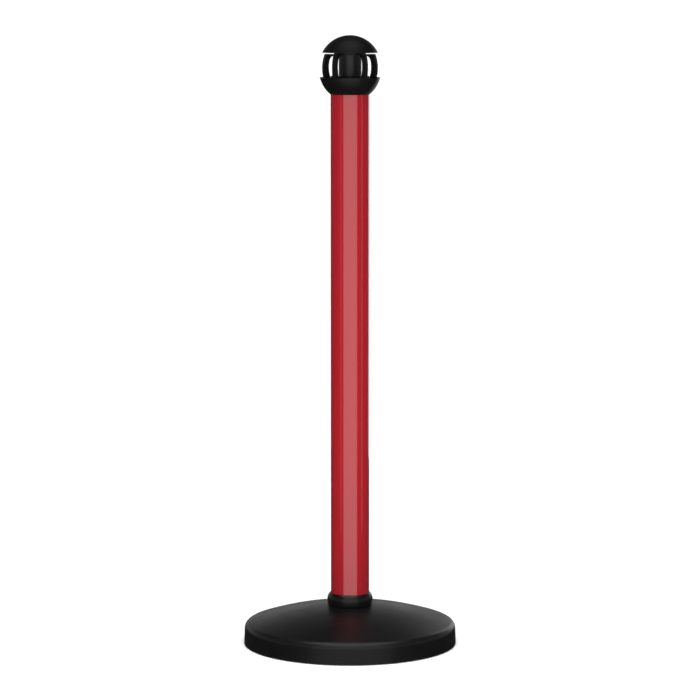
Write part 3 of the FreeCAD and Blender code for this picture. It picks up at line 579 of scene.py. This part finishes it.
def foot_outline(foot):
    """The rubber ring's section, grooved underneath."""
    low, high = FOOT_LOW.z, FOOT_HIGH.z
    inner, outer = FOOT_BORE, FOOT_HIGH.x
    outline = [(inner + FOOT_CHAMFER, low)]
    pitch = (outer - inner - 2 * FOOT_CHAMFER) / (2 * foot.grooves + 1)
    for index in range(foot.grooves):
        left = inner + FOOT_CHAMFER + pitch * (2 * index + 1)
        slant = pitch * GROOVE_SLANT
        outline += [(left, low), (left + slant, low + foot.groove_depth),
                    (left + pitch - slant, low + foot.groove_depth), (left + pitch, low)]
    outline += [(outer - FOOT_CHAMFER, low), (outer, low + FOOT_CHAMFER), (outer, high), (inner, high),
                (inner, low + FOOT_CHAMFER)]
    return outline


def paint_nodes(material, *nodes):
    """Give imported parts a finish."""
    for node in nodes:
        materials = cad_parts[node].data.materials
        materials.clear()
        materials.append(material)


def paint_piece(piece, material):
    piece.data.materials.append(material)


class BELTPOST_OT_base(Operator):
    """Finish the base cover, collar, casting and bolt, and mould the rubber ring"""

    bl_idname = "beltpost.base"
    bl_label = "Base"

    def execute(self, context):
        black = context.scene.belt_post_colours.moulding
        foot = context.scene.belt_post_foot
        paint_nodes(moulded("base_moulding", black, 0.34, 0.0007, 0.000022, rim_wear, 0.13), "base_cover")
        paint_nodes(moulded("collar_moulding", black, 0.30, 0.0005, 0.000012), "base_collar")
        paint_nodes(cast_iron(), "base_weight")
        zinc = turned_metal("zinc_plate", (0.60, 0.60, 0.58), 0.34, 0.0006, (0.66, 0.60, 0.42))
        paint_nodes(zinc, "base_bolt", "base_nut", "base_washer", "plug_washer")
        ring = lathe("foot_ring", foot_outline(foot), foot.steps)
        paint_piece(ring, rubber())
        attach(ring, "post")
        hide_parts("rubber_foot_ring")
        return {"FINISHED"}


class BELTPOST_OT_tube(Operator):
    """Finish the coated tube and the plug inside it"""

    bl_idname = "beltpost.tube"
    bl_label = "Tube"

    def execute(self, context):
        paint_nodes(coated_tube(context.scene.belt_post_colours.coating), "tube")
        alloy = turned_metal("plug_alloy", (0.68, 0.68, 0.69), 0.30, 0.0004, (0.58, 0.58, 0.60))
        paint_nodes(alloy, "tube_plug")
        return {"FINISHED"}


class BELTPOST_OT_head(Operator):
    """Finish the bowl, the hooks, the dome and the screws that hold them"""

    bl_idname = "beltpost.head"
    bl_label = "Head"

    def execute(self, context):
        black = context.scene.belt_post_colours.moulding
        paint_nodes(moulded("bowl_moulding", black, 0.42, 0.0005, 0.000014), "head_bowl", "dome_plate")
        paint_nodes(moulded("hook_moulding", black, 0.40, 0.0005, 0.000012, hook_wear), "hook_cage")
        paint_nodes(moulded("dome_moulding", black, 0.50, 0.0005, 0.000014, dome_wear, 0.06), "dome_cap")
        screw = turned_metal("screw_blackened", (0.035, 0.035, 0.038), 0.36, 0.0003, (0.06, 0.05, 0.045))
        paint_nodes(screw, "cage_screws", "case_screws", "dome_screws")
        brass = turned_metal("insert_brass", (0.78, 0.56, 0.24), 0.28, 0.0004, (0.60, 0.40, 0.18))
        paint_nodes(brass, "dome_insert")
        return {"FINISHED"}


class BELTPOST_OT_reel(Operator):
    """Finish the reel, its spindle and the spring that winds it"""

    bl_idname = "beltpost.reel"
    bl_label = "Reel"

    def execute(self, context):
        black = context.scene.belt_post_colours.moulding
        reel = moulded("reel_moulding", black, 0.28, 0.0004, 0.000008)
        paint_nodes(reel, "spool", "spool_top_flange", "spring_case")
        paint_nodes(acetal(), "lower_bush", "upper_bush", "thrust_washer")
        steel = turned_metal("spindle_steel", (0.58, 0.58, 0.58), 0.24, 0.0003, (0.50, 0.50, 0.52))
        paint_nodes(steel, "spindle", "spindle_washer", "spindle_nut")
        blued = turned_metal("spring_blue", (0.10, 0.12, 0.22), 0.30, 0.0005, (0.22, 0.14, 0.10))
        paint_nodes(blued, "power_spring")
        return {"FINISHED"}


class BELTPOST_OT_webbing(Operator):
    """Wind the webbing on the reel and lead it out through the mouth to the clip"""

    bl_idname = "beltpost.webbing"
    bl_label = "Webbing"

    def execute(self, context):
        webbing = context.scene.belt_post_webbing
        colour = context.scene.belt_post_colours.webbing
        wound = woven("wound_webbing", colour, webbing, True)
        ribbed = ribbed_outline(webbing)
        path = wound_path(webbing, 1.0)
        roll = sweep("webbing_roll", path, flat_outline(webbing))
        last_turn = 2.0 * math.pi * (len(path) - 1) / webbing.turn_steps
        steps = webbing.turn_steps * 2
        wrap_points = []
        for step in range(steps + 1):
            turn = last_turn + 2.0 * math.pi * step / steps
            radius = path[-1].length + webbing.thickness * (step / steps - LAP_SINK)
            wrap_points.append(Vector((math.cos(turn), math.sin(turn))) * radius)
        wrap = sweep("webbing_outer_turn", wrap_points, ribbed)
        for piece in (roll, wrap):
            paint_piece(piece, wound)
            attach(piece, "reel")
        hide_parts("belt_roll")

        points, start, end = run_path(webbing)
        run = sweep("webbing_run", points, ribbed)
        paint_piece(run, woven("drawn_webbing", colour, webbing, False))
        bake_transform(run)
        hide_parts("belt_lead", "belt_tail")
        return {"FINISHED"}


class BELTPOST_OT_clip(Operator):
    """Finish the belt mouth, the end clip and its tongue"""

    bl_idname = "beltpost.clip"
    bl_label = "Clip"

    def execute(self, context):
        black = context.scene.belt_post_colours.moulding
        gloss = moulded("clip_moulding", black, 0.24, 0.0004, 0.000008)
        paint_nodes(gloss, "belt_mouth", "clip_body")
        paint_nodes(coated_steel(), "hook_tongue")
        pin = turned_metal("pin_steel", (0.58, 0.58, 0.57), 0.28, 0.0003, (0.50, 0.50, 0.50))
        paint_nodes(pin, "clip_pin", "tongue_pin")
        return {"FINISHED"}


ROOM_SHADE = 0.04
BACKDROP = 1.05
FLOOR_REACH = 30.0
TOP_SPREAD = math.radians(60.0)
TOP_TILT = math.radians(12.0)
SENSOR_WIDTH = 36.0
# Each softbox: turn in degrees from -Y to the right, reach, width, lower and upper edge, share of strength.
SOFTBOXES = {
    "front_softbox": (1.5, 0.9, 1.54, -0.16, 1.0, 1.0),
    "right_strip": (76.0, 1.6, 0.30, -0.1, 1.1, 0.25),
    "left_strip": (-56.0, 1.6, 0.30, -0.1, 1.1, 0.2),
    "rear_strip": (152.0, 1.8, 0.50, 0.02, 1.4, 0.8),
}


def stage_floor():
    """A wide pale floor, kept out of reflections so that dark faces stay dark."""
    far = FLOOR_REACH
    corners = [(-far, -far, 0), (far, -far, 0), (far, far, 0), (-far, far, 0)]
    floor = make_mesh("floor", corners, [(0, 1, 2, 3)])
    paint = new_paint("floor_paper")
    grain = paint.noise(paint.here(), 40.0, 3.0)
    tone = paint.mix(grain, solid((0.92, 0.92, 0.92)), solid((0.94, 0.94, 0.94)))
    floor.data.materials.append(paint.surface({
        "Base Color": tone, "Roughness": 0.9, "Specular IOR Level": 0.0}))
    floor.visible_glossy = False


def stage_room(stage):
    """A dim room with a pale band above its horizon, which the camera alone sees as plain white."""
    world = bpy.data.worlds.new("room")
    bpy.context.scene.world = world
    paint = Paint(world)
    seen = paint.node("ShaderNodeLightPath", {}, {}, "Is Camera Ray")
    up = paint.split(paint.node("ShaderNodeTexCoord", {}, {}, "Generated"))[2]
    glow = paint.ease(up, -0.03, 0.06) * (1.0 - paint.ease(up, 0.10, 0.62))
    room = ROOM_SHADE + glow * stage.horizon
    strength = room + seen * (BACKDROP - room)
    light = paint.node("ShaderNodeBackground", {}, {"Color": (1, 1, 1, 1), "Strength": strength})
    paint.node("ShaderNodeOutputWorld", {}, {"Surface": light})


def stage_top_light(strength):
    """One broad soft light from overhead, a little to the front."""
    light = bpy.data.lights.new("top_light", "SUN")
    light.energy = strength
    light.angle = TOP_SPREAD
    lamp = bpy.data.objects.new("top_light", light)
    lamp.rotation_euler = (TOP_TILT, 0.0, 0.0)
    bpy.context.scene.collection.objects.link(lamp)


def stage_softbox(name, turn, reach, width, low, high, strength):
    """An upright softbox that faces the post, and doesn't show to the camera."""
    light = bpy.data.lights.new(name, "AREA")
    light.shape = "RECTANGLE"
    light.size = width
    light.size_y = high - low
    light.energy = strength * math.pi * width * (high - low)
    lamp = bpy.data.objects.new(name, light)
    angle = math.radians(turn)
    lamp.location = (reach * math.sin(angle), -reach * math.cos(angle), (low + high) / 2)
    lamp.rotation_euler = (math.pi / 2, 0.0, angle)
    lamp.visible_camera = False
    bpy.context.scene.collection.objects.link(lamp)


class BELTPOST_OT_stage(Operator):
    """Lay the floor, light the studio and place the camera"""

    bl_idname = "beltpost.stage"
    bl_label = "Stage"

    def execute(self, context):
        stage = context.scene.belt_post_stage
        stage_floor()
        stage_room(stage)
        stage_top_light(stage.top)
        for name, (*place, share) in SOFTBOXES.items():
            stage_softbox(name, *place, stage.panel * share)
        camera = bpy.data.objects.new("camera", bpy.data.cameras.new("camera"))
        camera.data.sensor_width = SENSOR_WIDTH
        camera.data.lens = stage.lens
        camera.location = (0.0, -stage.distance, stage.height)
        tilt = math.atan2(stage.height - stage.aim, stage.distance)
        camera.rotation_euler = (math.pi / 2 - tilt, 0.0, 0.0)
        context.scene.collection.objects.link(camera)
        context.scene.camera = camera
        context.scene.view_settings.view_transform = "Standard"
        return {"FINISHED"}


PIECES = (
    BELTPOST_OT_base,
    BELTPOST_OT_tube,
    BELTPOST_OT_head,
    BELTPOST_OT_reel,
    BELTPOST_OT_webbing,
    BELTPOST_OT_clip,
    BELTPOST_OT_stage,
)
GROUPS = {
    "belt_post_webbing": BeltPostWebbing,
    "belt_post_foot": BeltPostFoot,
    "belt_post_colours": BeltPostColours,
    "belt_post_stage": BeltPostStage,
}


class BELTPOST_PT_panel(Panel):
    """The post's sizes, colours and pieces"""

    bl_idname = "BELTPOST_PT_panel"
    bl_label = "Belt Post"
    bl_space_type = "VIEW_3D"
    bl_region_type = "UI"
    bl_category = "Belt Post"

    def draw(self, context):
        for name, group in GROUPS.items():
            box = self.layout.box()
            for field in group.__annotations__:
                box.prop(getattr(context.scene, name), field)
        for piece in PIECES:
            self.layout.operator(piece.bl_idname)


def register():
    for group in GROUPS.values():
        bpy.utils.register_class(group)
    for operator in PIECES:
        bpy.utils.register_class(operator)
    bpy.utils.register_class(BELTPOST_PT_panel)
    for name, group in GROUPS.items():
        setattr(bpy.types.Scene, name, PointerProperty(type=group))


def unregister():
    for name in GROUPS:
        delattr(bpy.types.Scene, name)
    bpy.utils.unregister_class(BELTPOST_PT_panel)
    for operator in reversed(PIECES):
        bpy.utils.unregister_class(operator)
    for group in reversed(GROUPS.values()):
        bpy.utils.unregister_class(group)


def main():
    register()
    bpy.ops.beltpost.base()
    bpy.ops.beltpost.tube()
    bpy.ops.beltpost.head()
    bpy.ops.beltpost.reel()
    bpy.ops.beltpost.webbing()
    bpy.ops.beltpost.clip()
    bpy.ops.beltpost.stage()


if __name__ == "__main__":
    main()
